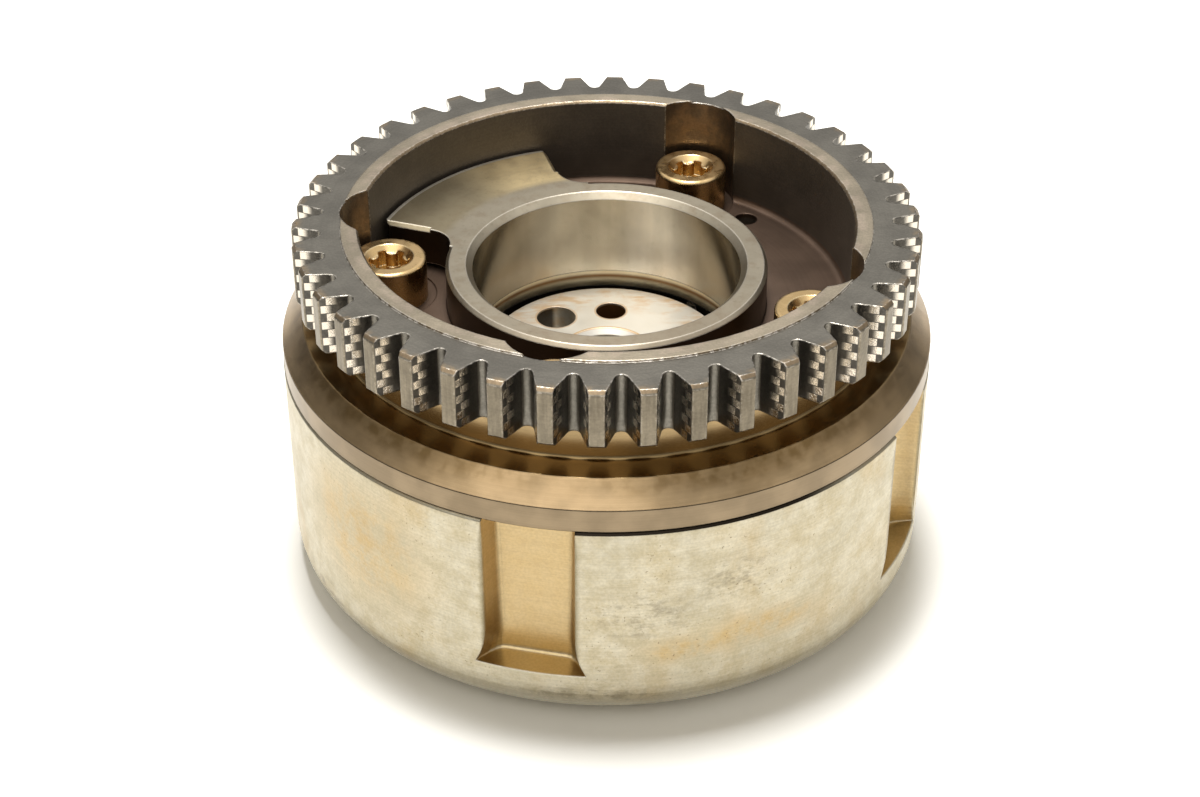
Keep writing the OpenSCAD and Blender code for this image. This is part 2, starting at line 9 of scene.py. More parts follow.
import bmesh
import bpy
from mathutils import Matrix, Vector


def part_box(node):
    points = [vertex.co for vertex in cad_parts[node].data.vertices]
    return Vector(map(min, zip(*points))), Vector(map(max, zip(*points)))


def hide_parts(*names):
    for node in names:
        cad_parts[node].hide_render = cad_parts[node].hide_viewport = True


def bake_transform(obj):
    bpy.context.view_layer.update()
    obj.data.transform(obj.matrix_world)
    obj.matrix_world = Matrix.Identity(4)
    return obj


bl_info = {
    "name": "Cam Phaser Finishes",
    "version": (1, 0, 0),
    "blender": (4, 5, 0),
    "location": "3D View > Sidebar > Cam Phaser",
    "description": "Dresses the cam phaser's pieces and sets up its studio",
    "category": "Object",
}

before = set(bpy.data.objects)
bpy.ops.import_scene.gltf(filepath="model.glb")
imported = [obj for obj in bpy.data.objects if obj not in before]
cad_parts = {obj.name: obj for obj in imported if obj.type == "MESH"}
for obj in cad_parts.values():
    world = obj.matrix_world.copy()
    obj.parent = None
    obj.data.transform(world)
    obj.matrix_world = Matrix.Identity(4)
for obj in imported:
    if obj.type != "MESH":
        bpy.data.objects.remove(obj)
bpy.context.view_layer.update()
MM = 0.001
WELD = 0.001 * MM

CHAMBERS = range(1, 5)
SEALS = [f"{kind}_seal_{i}" for kind in ("vane", "shoe") for i in CHAMBERS]
LEAVES = [f"{kind}_seal_spring_{i}" for kind in ("vane", "shoe") for i in CHAMBERS]
COIL = "lock_pin_spring"
PINS = ["lock_pin", "lock_pin_bush", "locating_dowel"]

# Heights on the solids that the finishes follow, in millimetres
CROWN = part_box("sprocket")[1].z / MM  # top of the lip around the dish
TEETH_FOOT = CROWN - 8.75  # underside of the toothed ring
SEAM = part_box("housing_cup")[1].z / MM  # where sprocket and cup meet
RIM_TOP = SEAM + 3.5  # foot of the flange's bevel
DISH_FLOOR = SEAM + 6.65
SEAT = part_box("rotor")[1].z / MM - 2.1  # rotor's face at the end of the bore
BOLT_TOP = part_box("cover_bolts")[1].z / MM
NOTCH_FOOT = 8.1  # ledge at the foot of the cup's notches

# Radii on the solids that the finishes follow, in millimetres
CUP_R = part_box("housing_cup")[1].x / MM
FLANGE_R = CUP_R - 0.1
BEVEL_R = FLANGE_R - 2.9  # inner end of the flange's bevel
TIP_R = 42.62
ROOT_R = 38.6
NECK_R = 38.0
DISH_R = 33.6
SECTOR_R = 33.0
HUB_R = 22.1
BORE_R = 18.45

# Holes in the rotor's face: circle, angle in degrees, radius, strength of the oil ring around it
HOLES = {
    "bolt": (0.0, 0.0, 6.25, 0.8),
    "dowel": (11.5, 128.8, 2.8, 0.5),
    "oil": (10.7, 86.4, 2.15, 0.6),
}

# Oil varnish on the cup: angle in degrees, height, half width and half height of each smear
SMEARS = (
    (-136, 20, 17, 14), (-64, 13, 15, 4), (-78, 12, 8, 3),
    (-20, 16, 15, 6), (30, 20, 16, 8), (120, 15, 20, 7),
)
# Handling marks on the cup, given in the same way
SMUDGES = ((-84, 18, 9, 6), (-92, 4.5, 16, 3), (-68, 22, 8, 5), (-150, 5, 8, 4), (75, 6, 15, 4))


def linear(code):
    """The linear colour of an sRGB hex code."""
    shares = [int(code[i:i + 2], 16) / 255 for i in (1, 3, 5)]
    return tuple(s / 12.92 if s <= 0.04045 else ((s + 0.055) / 1.055) ** 2.4 for s in shares)


def tint(name, description, code):
    """A colour that a user can change."""
    return bpy.props.FloatVectorProperty(
        name=name, description=description, subtype="COLOR", size=4, min=0, max=1,
        default=(*linear(code), 1.0))


def length(name, description, millimetres):
    """A size that a user can change, in metres."""
    return bpy.props.FloatProperty(
        name=name, description=description, unit="LENGTH", precision=5, default=millimetres * MM)


def place(name, description, *millimetres):
    """A point that a user can move, in metres."""
    return bpy.props.FloatVectorProperty(
        name=name, description=description, subtype="XYZ_LENGTH", size=3,
        default=[m * MM for m in millimetres])


class SprocketLook(bpy.types.PropertyGroup):
    """Colours and wear of the sprocket"""

    base: tint("Oil brown", "Oil-browned steel of the underside", "#8a7860")
    face: tint("Tooth face", "Bare grey end faces of the teeth", "#7e796f")
    tan: tint("Tooth edge", "Tan film near the teeth's tips", "#ad9472")
    flank: tint("Tooth flank", "Oil-black sides of the teeth", "#5c5954")
    tip: tint("Tooth tip", "Satin land on the teeth's tips", "#746c5e")
    root: tint("Tooth root", "Grey bottom of the tooth gaps", "#7a766e")
    worn: tint("Worn patch", "Patches that the chain's plates have polished", "#ebe2d4")
    lip: tint("Lip", "Flat lip around the dish", "#b0a38d")
    handled: tint("Handled lip", "Pale wear along the lip's inner edge", "#cbb8a4")
    dish: tint("Dish wall", "Black oil film on the dish's wall", "#665e55")
    dish_floor: tint("Dish floor", "Red-brown oil film on the dish's floor", "#705c4d")
    scallop: tint("Scallop", "Milled walls behind the bolt heads", "#897662")
    shelf: tint("Shelf", "Bronze ledge below the teeth", "#86704c")
    neck: tint("Neck", "Golden neck under the teeth", "#a58e69")
    # Also painted shade on the bevel's sides and along its inner edge
    brown: tint("Brown", "Browner patches of the bevel's varnish", "#644e2d")
    bevel: tint("Bevel", "Bronze varnish on the flange's bevel", "#a28a68")
    rim: tint("Rim", "Taupe outer rim of the flange", "#93826a")
    line: tint("Line", "Oil-black line in the seam", "#1f1b17")
    wear_row: length("Wear row", "Thickness of one chain plate's mark", 1.214)


class CupLook(bpy.types.PropertyGroup):
    """Colours of the housing cup"""

    metal: tint("Metal", "Pale satin metal", "#bfb59b")
    cloud: tint("Cloud", "Slightly browner patches of the metal", "#b5a684")
    # On the edges near the closed end this colour is also a painted highlight
    pale: tint("Pale", "Chalky light patches and rubbed edges", "#dad6c8")
    varnish: tint("Varnish", "Oil varnish smeared on the outside", "#bb9f6b")
    smudge: tint("Smudge", "Grey-brown handling marks", "#8f8673")
    pit: tint("Pit", "Small pits filled with oil", "#6b5a42")
    # Painted highlight on the closed end of the cup
    hem_highlight: tint("Hem", "Rubbed bright metal near the closed end", "#eae6da")
    notch: tint("Notch", "Tan varnish on the notches' floors", "#c0aa82")
    # Painted shade along the notches' rolled edges and corners
    corner_shade: tint("Corner", "Olive oil film in the notches' rolled corners", "#8a7d5e")
    ledge: tint("Ledge", "Brown oil on the notches' ledges", "#b8a47c")
    line: tint("Line", "Oil-black line in the seam", "#2a241d")


class HubLook(bpy.types.PropertyGroup):
    """Colours of the target hub"""

    metal: tint("Metal", "Satin turned steel", "#b3a893")
    # On the hub this colour is a painted sheen at the sector's end
    stain: tint("Stain", "Golden oil stain on the sector", "#f0d8a6")
    olive: tint("Olive", "Thin oil film on the sector", "#a99b7c")
    brown: tint("Brown", "Browned patches of the face", "#97836a")
    bore: tint("Bore", "Polished bore", "#e0d7c2")
    # Painted reflection: the darker sides and streaks of the bore
    film: tint("Film", "Dark oil film at the bore's sides", "#8d8370")
    outer: tint("Outer", "Black oil film on the outside walls", "#5a4e42")
    # Also the colour of painted highlights: on edges, the sector's arc and the bore's bright band
    edge: tint("Edge", "Bright broken edges", "#f3ecdd")


class RotorLook(bpy.types.PropertyGroup):
    """Colours of the rotor"""

    metal: tint("Metal", "Ground bright steel", "#ebe5d8")
    stain: tint("Stain", "Golden oil rings around holes", "#cf9f52")
    hole: tint("Hole", "Brown oil inside the oil hole", "#8f6840")
    recess: tint("Recess", "Golden wall of the recess", "#f0e4c6")
    # Painted shade: the dark of the ring groove and of one side of the dowel hole
    groove: tint("Groove", "Oil-black ring groove", "#2c2620")
    # Broken edges worn bright, with a painted highlight along them
    edge: tint("Edge", "Bright broken edges", "#f9f7f3")


class BoltLook(bpy.types.PropertyGroup):
    """Colours of the cover bolts"""

    zinc: tint("Zinc", "Yellow-passivated zinc plate", "#d4b482")
    deep: tint("Deep", "Browner plate in the recesses", "#c6a66f")
    pale: tint("Pale", "Rubbed bright plate", "#f0e2bd")


class SmallLook(bpy.types.PropertyGroup):
    """Colours of pins, springs and sealing strips"""

    pin: tint("Pin", "Hardened and ground steel", "#b4b2ad")
    pin_edge: tint("Pin edge", "Bright broken edges of the pins", "#e7e7e5")
    spring: tint("Spring", "Drawn spring steel", "#8f8d86")
    strip: tint("Strip", "Graphite-filled plastic strip", "#343437")


class StageLook(bpy.types.PropertyGroup):
    """Floor, light and camera"""

    floor_size: length("Floor", "Side of the square floor", 4000)
    floor_drop: length("Floor drop", "How far the floor lies below the part", 0.02)
    floor: tint("Floor colour", "Matt white sheet", "#f6f5f1")
    gain: bpy.props.FloatProperty(
        name="Gain", description="How much brighter the floor is seen than it is lit", default=1.65)
    fill: tint("Fill light", "Warm light from the room, seen in shadows", "#fff8ea")
    tent: tint("Tent", "White of the tent where it is seen", "#ffffff")
    window: bpy.props.FloatVectorProperty(
        name="Window", description="Towards the brightest part of the studio", subtype="DIRECTION", size=3,
        default=(-0.26, -0.55, 0.79))
    overhead: bpy.props.FloatProperty(
        name="Overhead", description="Power of the soft box above", unit="POWER", default=5.5)
    box: place("Soft box", "Where the soft box hangs", -30, 120, 850)
    box_size: length("Soft box size", "Side of the square soft box", 200)
    lens: bpy.props.FloatProperty(
        name="Lens", description="Focal length of the camera", unit="CAMERA", default=69.58)
    sensor: bpy.props.FloatProperty(
        name="Sensor", description="Width of the camera's sensor", unit="CAMERA", default=36)
    near: length("Near", "Distance at which the camera begins to see", 10)
    camera: place("Camera", "Where the camera stands", -0.904, -273.56, 208.0)
    aim: place("Aim", "Point that the camera looks at", -0.904, 0, 21.33)


LOOKS = {
    "phaser_sprocket": SprocketLook,
    "phaser_cup": CupLook,
    "phaser_hub": HubLook,
    "phaser_rotor": RotorLook,
    "phaser_bolts": BoltLook,
    "phaser_small": SmallLook,
    "phaser_stage": StageLook,
}


def put(tree, kind, inputs=None, out=0, **settings):
    """Adds a node with its settings and inputs, and returns one of its outputs, if it has any."""
    node = tree.nodes.new(kind)
    for name, value in settings.items():
        setattr(node, name, value)
    for key, value in (inputs or {}).items():
        if isinstance(value, bpy.types.NodeSocket):
            tree.links.new(value, node.inputs[key])
        else:
            node.inputs[key].default_value = value
    return node.outputs[out] if node.outputs else None


def new_material(name):
    """An empty node material with its tree."""
    material = bpy.data.materials.new(name)
    material.use_nodes = True
    material.node_tree.nodes.clear()
    return material, material.node_tree


def places(tree):
    """Where a point of the piece is, in millimetres: the point, its radius, angle and height,
    and how far its face looks up."""
    spot = put(tree, "ShaderNodeTexCoord", out=3)
    normal = put(tree, "ShaderNodeTexCoord", out=1)
    point = put(tree, "ShaderNodeVectorMath", {0: spot, "Scale": 1 / MM}, operation="SCALE")
    flat = put(tree, "ShaderNodeVectorMath", {0: point, 1: (1, 1, 0)}, operation="MULTIPLY")
    radius = put(tree, "ShaderNodeVectorMath", {0: flat}, out=1, operation="LENGTH")
    x = put(tree, "ShaderNodeSeparateXYZ", {0: point}, out=0)
    y = put(tree, "ShaderNodeSeparateXYZ", {0: point}, out=1)
    height = put(tree, "ShaderNodeSeparateXYZ", {0: point}, out=2)
    angle = put(tree, "ShaderNodeMath", {0: y, 1: x}, operation="ARCTAN2")
    up = put(tree, "ShaderNodeSeparateXYZ", {0: normal}, out=2)
    return point, radius, angle, height, up


def overlap(tree, *masks):
    """Where all the masks lie over each other, made weaker by numbers among them."""
    product = masks[0]
    for mask in masks[1:]:
        product = put(tree, "ShaderNodeMath", {0: product, 1: mask}, operation="MULTIPLY", use_clamp=True)
    return product


def band(tree, value, low, high, soft):
    """A mask that is 1 between two values and fades out over soft at each end. An end that is None
    stays open."""
    ends = []
    if low is not None:
        ends.append({0: value, 1: low - soft, 2: low + soft})
    if high is not None:
        ends.append({0: value, 1: high - soft, 2: high + soft, 3: 1.0, 4: 0.0})
    return overlap(tree, *(
        put(tree, "ShaderNodeMapRange", end, interpolation_type="SMOOTHSTEP") for end in ends))


def sweep(tree, angle, first, last, soft):
    """A mask between two angles about the axis, all in degrees."""
    return band(tree, angle, math.radians(first), math.radians(last), math.radians(soft))


def level(tree, up):
    """A mask of the faces that look up."""
    return band(tree, up, 0.8, None, 0.1)


def upright(tree, up):
    """A mask of the walls that stand along the axis."""
    return band(tree, up, -0.4, 0.4, 0.1)


def paint(tree, base, layers, kind="RGBA"):
    """A colour, or a number, with others laid over it, each by its mask."""
    first, second, out = {"RGBA": (6, 7, 2), "FLOAT": (2, 3, 0)}[kind]
    value = base
    for mask, over in layers:
        value = put(tree, "ShaderNodeMix", {0: mask, first: value, second: over}, out=out, data_type=kind)
    return value


def shade(tree, colour, mask, low, high):
    """A colour made darker or lighter by a mask."""
    tone = put(tree, "ShaderNodeMapRange", {0: mask, 3: low, 4: high})
    return put(tree, "ShaderNodeVectorMath", {0: colour, "Scale": tone}, operation="SCALE")


def grain(tree, vector, size, detail=3.0, low=0.35, high=0.65, gritty=0.5, stretch=None):
    """Noise with patches of about that size in millimetres, spread from 0 to 1 between low and high.
    Gritty is how much of it lies in the finest detail. Stretch packs it closer along an axis above 1
    and draws it out along one below 1."""
    if stretch:
        vector = put(tree, "ShaderNodeVectorMath", {0: vector, 1: stretch}, operation="MULTIPLY")
    noise = put(tree, "ShaderNodeTexNoise", {
        "Vector": vector, "Scale": 1 / size, "Detail": detail, "Roughness": gritty})
    return put(tree, "ShaderNodeMapRange", {0: noise, 1: low, 2: high}, interpolation_type="SMOOTHSTEP")


def unrolled(tree, angle, height, radius):
    """Coordinates on a round wall that is laid out flat, in millimetres."""
    around = put(tree, "ShaderNodeMath", {0: angle, 1: radius}, operation="MULTIPLY")
    return put(tree, "ShaderNodeCombineXYZ", {0: around, 1: height})


def patch(tree, wall, radius, turn, height, half_width, half_height):
    """A soft oval mask on a wall of that radius that is laid out flat."""
    middle = (math.radians(turn) * radius, height, 0)
    away = put(tree, "ShaderNodeVectorMath", {0: wall, 1: middle}, operation="SUBTRACT")
    away = put(tree, "ShaderNodeVectorMath", {0: away, 1: (1 / half_width, 1 / half_height, 0)},
               operation="MULTIPLY")
    away = put(tree, "ShaderNodeVectorMath", {0: away}, out=1, operation="LENGTH")
    return put(tree, "ShaderNodeMapRange", {0: away, 1: 1.0, 2: 0.2}, interpolation_type="SMOOTHSTEP")


def edges(tree, radius):
    """A normal that rounds sharp edges off over a radius in millimetres, and a mask of those edges."""
    reach = put(tree, "ShaderNodeMath", {0: radius, 1: MM}, operation="MULTIPLY")
    rounded = put(tree, "ShaderNodeBevel", {"Radius": reach}, samples=6)
    plain = put(tree, "ShaderNodeNewGeometry", out=1)
    agree = put(tree, "ShaderNodeVectorMath", {0: rounded, 1: plain}, out=1, operation="DOT_PRODUCT")
    mask = put(tree, "ShaderNodeMapRange", {0: agree, 1: 0.995, 2: 0.9}, interpolation_type="SMOOTHSTEP")
    return rounded, mask


def turning_marks(tree):
    """The direction around the turning axis, which turning marks follow."""
    spot = put(tree, "ShaderNodeTexCoord", out=3)
    around = put(tree, "ShaderNodeVectorMath", {0: (0, 0, 1), 1: spot}, operation="CROSS_PRODUCT")
    around = put(tree, "ShaderNodeVectorMath", {0: around}, operation="NORMALIZE")
    return put(tree, "ShaderNodeVectorTransform", {0: around},
               vector_type="VECTOR", convert_from="OBJECT", convert_to="WORLD")


def metal(tree, colour, roughness, normal, bumps=None, depth=0.0, metallic=1.0, turned=None):
    """Ends a material as bare, plated or oil-filmed metal. Bumps stand out by depth millimetres, and
    turned is how far turning marks draw reflections out across them."""
    if bumps is not None:
        normal = put(tree, "ShaderNodeBump",
                     {"Strength": 1.0, "Distance": depth * MM, "Height": bumps, "Normal": normal})
    inputs = {"Base Color": colour, "Metallic": metallic, "Roughness": roughness, "Normal": normal}
    if turned is not None:
        inputs |= {"Anisotropic": turned, "Anisotropic Rotation": 0.25, "Tangent": turning_marks(tree)}
    skin = put(tree, "ShaderNodeBsdfPrincipled", inputs)
    put(tree, "ShaderNodeOutputMaterial", {"Surface": skin})


def dress(nodes, material):
    """Gives CAD nodes a material."""
    for name in nodes:
        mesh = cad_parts[name].data
        mesh.materials.clear()
        mesh.materials.append(material)


def oil_line(tree, angle, seam):
    """A seam's line of oil, blackest at the front and fainter all round."""
    wet = sweep(tree, angle, -108, -50, 6.9)
    return overlap(tree, seam, put(tree, "ShaderNodeMapRange", {0: wet, 3: 0.45, 4: 1.0}))


def worn_rows(tree, row_height, radius, height):
    """Marks of the chain's plates on the tooth flanks: rows that lie nearer the tip and further in
    by turns, sharp above and below, fading inwards."""
    row = put(tree, "ShaderNodeMath", {0: height, 1: TEETH_FOOT}, operation="SUBTRACT")
    row = put(tree, "ShaderNodeMath", {0: row, 1: row_height}, operation="DIVIDE")
    turn = put(tree, "ShaderNodeMath", {0: row, 1: 2.0}, operation="MODULO")
    outer = put(tree, "ShaderNodeMath", {0: turn, 1: 1.0}, operation="GREATER_THAN")
    middle = put(tree, "ShaderNodeMapRange", {0: outer, 3: TIP_R - 1.57, 4: TIP_R - 0.87})
    across = put(tree, "ShaderNodeMath", {0: radius, 1: middle}, operation="SUBTRACT")
    within = put(tree, "ShaderNodeMath", {0: row}, operation="FRACT")
    fading = put(tree, "ShaderNodeMapRange", {0: across, 1: -0.85, 2: 0.1}, interpolation_type="SMOOTHSTEP")
    return overlap(tree, fading, band(tree, across, None, 0.6, 0.06), band(tree, within, 0.05, 0.95, 0.03))


def sprocket_steel(look):
    """Sintered steel, hardened and browned by hot oil: grey where the chain and hands keep it
    bare, near black between the teeth, bronze varnish where oil has baked on. Painted shade browns
    the bevel's sides and inner edge further, and broken edges are worn bright with a painted
    highlight along them."""
    material, tree = new_material("sintered_steel_oil_browned")
    point, radius, angle, height, up = places(tree)
    rounded, edge = edges(tree, 0.3)
    flat, wall = level(tree, up), upright(tree, up)
    on_teeth = band(tree, height, TEETH_FOOT - 0.05, None, 0.05)

    # Pores and turning marks are drawn coarser than real ones, so that they show
    speck = overlap(tree, grain(tree, point, 0.35, detail=2, low=0.42, high=0.6), on_teeth)
    ring_space = put(tree, "ShaderNodeCombineXYZ", {0: radius, 1: height})
    turning = grain(tree, ring_space, 0.3)
    cloud = grain(tree, point, 5.0)
    blotch = grain(tree, point, 2.0, detail=6, low=0.4, high=0.62)
    baked = grain(tree, point, 5.0, detail=8, low=0.3, high=0.72, stretch=(1, 1, 2))
    rubbed = grain(tree, point, 0.5, stretch=(1, 1, 0.12))
    nicked = grain(tree, point, 0.7, low=0.4, high=0.6)

    flank = overlap(tree, on_teeth, wall, band(tree, radius, ROOT_R + 0.35, TIP_R - 0.12, 0.05))
    root = overlap(tree, on_teeth, wall, band(tree, radius, NECK_R, ROOT_R + 0.35, 0.05))
    tip = overlap(tree, on_teeth, band(tree, radius, TIP_R - 0.17, None, 0.05))
    face = overlap(tree, flat, band(tree, height, CROWN - 0.4, None, 0.05))
    tan = overlap(tree, face, band(tree, radius, TIP_R - 1.02, None, 0.8), grain(tree, point, 1.2, detail=4))
    worn = overlap(tree, worn_rows(tree, look.wear_row / MM, radius, height), wall, on_teeth)
    lip = overlap(tree, flat, band(tree, height, CROWN - 0.12, None, 0.02))
    handled = overlap(tree, lip, band(tree, radius, None, DISH_R + 1.4, 0.7), blotch)
    # Broken edges are worn bright, with a painted highlight along them
    bright = overlap(tree, edge, band(tree, height, TEETH_FOOT - 0.3, None, 0.1), nicked, 0.9)

    dish = overlap(tree, wall, band(tree, radius, None, DISH_R + 0.15, 0.05),
                   band(tree, height, None, CROWN - 0.3, 0.05))
    floor = overlap(tree, band(tree, radius, None, DISH_R + 3, 0.05),
                    band(tree, height, DISH_FLOOR - 0.7, DISH_FLOOR + 0.8, 0.15))
    scallop = overlap(tree, wall, band(tree, radius, DISH_R + 0.15, DISH_R + 3.4, 0.05),
                      band(tree, height, DISH_FLOOR + 0.2, CROWN - 0.3, 0.05))

    shelf = overlap(tree, band(tree, radius, NECK_R - 0.4, BEVEL_R, 0.03),
                    band(tree, height, DISH_FLOOR - 0.7, TEETH_FOOT - 0.05, 0.05))
    bevel = overlap(tree, band(tree, radius, BEVEL_R, None, 0.03),
                    band(tree, height, RIM_TOP, DISH_FLOOR + 0.2, 0.02))
    # Painted shade: the bevel is browned more at its sides than at the front, and along its inner edge
    inner = band(tree, radius, None, BEVEL_R + 1.4, 0.9)
    shaded_sides = paint(tree, 1.0, [
        (sweep(tree, angle, -112, -84, 17.2), 0.2), (sweep(tree, angle, -45, 20, 11.5), 0.5)], "FLOAT")
    browned = overlap(tree, bevel, shaded_sides)
    rim = overlap(tree, band(tree, radius, FLANGE_R - 0.1, None, 0.03),
                  band(tree, height, None, RIM_TOP, 0.02))
    crease = overlap(tree, band(tree, radius, FLANGE_R - 0.2, None, 0.03),
                     band(tree, height, RIM_TOP - 0.07, RIM_TOP + 0.05, 0.02))
    seam = overlap(tree, band(tree, radius, FLANGE_R - 1.4, None, 0.03),
                   band(tree, height, None, SEAM + 0.07, 0.02))

    colour = paint(tree, look.base, [
        (flank, look.flank), (root, look.root), (tip, look.tip), (face, look.face),
        (overlap(tree, tan, 0.8), look.tan), (lip, look.lip), (overlap(tree, handled, 0.6), look.handled),
        (dish, look.dish), (floor, look.dish_floor), (scallop, look.scallop), (shelf, look.shelf),
        (overlap(tree, scallop, blotch, 0.6), look.dish), (overlap(tree, shelf, wall), look.neck),
        (bevel, look.bevel), (overlap(tree, browned, inner, 0.55), look.brown),
        (overlap(tree, browned, baked, 0.3), look.brown),
        (overlap(tree, browned, inner, blotch, 0.7), look.brown), (rim, look.rim),
    ])
    colour = shade(tree, colour, speck, 0.96, 1.08)
    colour = shade(tree, colour, cloud, 0.88, 1.1)
    colour = shade(tree, colour, turning, 0.96, 1.03)
    colour = shade(tree, colour, overlap(tree, tip, rubbed), 1.0, 1.25)
    colour = paint(tree, colour, [
        (worn, look.worn), (bright, look.worn), (oil_line(tree, angle, seam), look.line),
        (overlap(tree, crease, 0.8), look.line)])
    rough = paint(tree, 0.38, [
        (speck, 0.32), (overlap(tree, dish, 0.9), 0.5), (floor, 0.42), (overlap(tree, bevel, 0.9), 0.22),
        (shelf, 0.2), (rim, 0.3), (tip, 0.28), (worn, 0.2)], "FLOAT")
    filmed = paint(tree, 1.0, [(dish, 0.45), (floor, 0.8), (scallop, 0.85)], "FLOAT")
    turned = paint(tree, 0.0, [(bevel, 0.35), (shelf, 0.5), (rim, 0.5), (lip, 0.3)], "FLOAT")
    metal(tree, colour, rough, rounded, bumps=speck, depth=0.008, metallic=filmed, turned=turned)
    return material


def cup_metal(look):
    """Cast and turned pale metal with a satin skin: a cloudy patina, fine turning marks around, gold
    where oil has dried on it, and rolled edges along the notches. Painted shade lies along the
    notches' edges and corners, the closed end is painted lighter as a highlight, and the edges near
    it are worn bright with a painted highlight along them."""
    material, tree = new_material("cast_metal_satin_oil_stained")
    point, radius, angle, height, up = places(tree)
    rolled = band(tree, height, NOTCH_FOOT + 3.4, SEAM - 2.05, 1.5)
    rounded, edge = edges(tree, paint(tree, 0.3, [(rolled, 1.3)], "FLOAT"))
    outside = unrolled(tree, angle, height, CUP_R)

    # Turning marks are drawn coarser than real ones, so that they show
    brush = grain(tree, outside, 1.0, detail=4, stretch=(0.12, 4, 1))
    cloud = grain(tree, point, 6.0, detail=5)
    patina = grain(tree, point, 3.0, detail=10, low=0.34, high=0.66, gritty=0.7)
    scuff = grain(tree, outside, 1.4, detail=10, low=0.46, high=0.62, gritty=0.72, stretch=(0.6, 1, 1))
    smear = grain(tree, point, 11.0, detail=5, low=0.52, high=0.72, stretch=(1, 1, 0.7))
    fine = grain(tree, point, 0.35, detail=4)
    gold = [patch(tree, outside, CUP_R, *smeared) for smeared in SMEARS]
    marks = [patch(tree, outside, CUP_R, *smudged) for smudged in SMUDGES]
    pits = overlap(tree, grain(tree, point, 0.4, detail=1, low=0.7, high=0.75), cloud,
                   band(tree, radius, CUP_R - 0.25, None, 0.12))

    # Painted highlight: the lowest few millimetres are drawn lighter
    hem_highlight = band(tree, height, None, 3.5, 1.5)
    notch = overlap(tree, band(tree, radius, CUP_R - 15, CUP_R - 0.25, 0.12),
                    band(tree, height, NOTCH_FOOT - 0.1, SEAM - 0.05, 0.05))
    ledge = overlap(tree, notch, band(tree, up, 0.5, None, 0.15))
    heel = overlap(tree, notch, band(tree, height, NOTCH_FOOT - 0.1, NOTCH_FOOT + 1.9, 1.5))
    # Painted shade along the notches' rolled edges and corners
    corner_shade = overlap(tree, edge, band(tree, height, NOTCH_FOOT + 2.9, SEAM - 0.55, 1.5))
    # Edges near the closed end are worn bright, with a painted highlight along them
    bright = overlap(tree, edge, band(tree, height, None, NOTCH_FOOT + 2.4, 0.5), 0.5)
    seam = overlap(tree, band(tree, height, SEAM - 0.3, None, 0.03),
                   band(tree, radius, CUP_R - 1, None, 0.05))

    colour = paint(tree, look.metal, [
        (overlap(tree, cloud, 0.5), look.cloud), (overlap(tree, patina, 0.5), look.pale),
        (overlap(tree, smear, 0.35), look.varnish),
        *((overlap(tree, oval, patina, 0.8), look.varnish) for oval in gold),
        *((overlap(tree, oval, scuff, 0.65), look.smudge) for oval in marks),
        (overlap(tree, hem_highlight, 0.85), look.hem_highlight), (overlap(tree, pits, 0.6), look.pit),
        (notch, look.notch), (overlap(tree, heel, 0.5), look.ledge), (ledge, look.ledge),
        (overlap(tree, notch, patina, 0.3), look.varnish), (overlap(tree, corner_shade, 0.7), look.corner_shade),
    ])
    colour = shade(tree, colour, brush, 0.95, 1.03)
    colour = shade(tree, colour, fine, 0.94, 1.04)
    colour = paint(tree, colour, [(bright, look.pale), (oil_line(tree, angle, seam), look.line)])
    rough = paint(tree, 0.42, [(cloud, 0.34), (notch, 0.32)], "FLOAT")
    turned = paint(tree, 0.55, [(notch, 0.0)], "FLOAT")
    metal(tree, colour, rough, rounded, bumps=brush, depth=0.003, turned=turned)
    return material


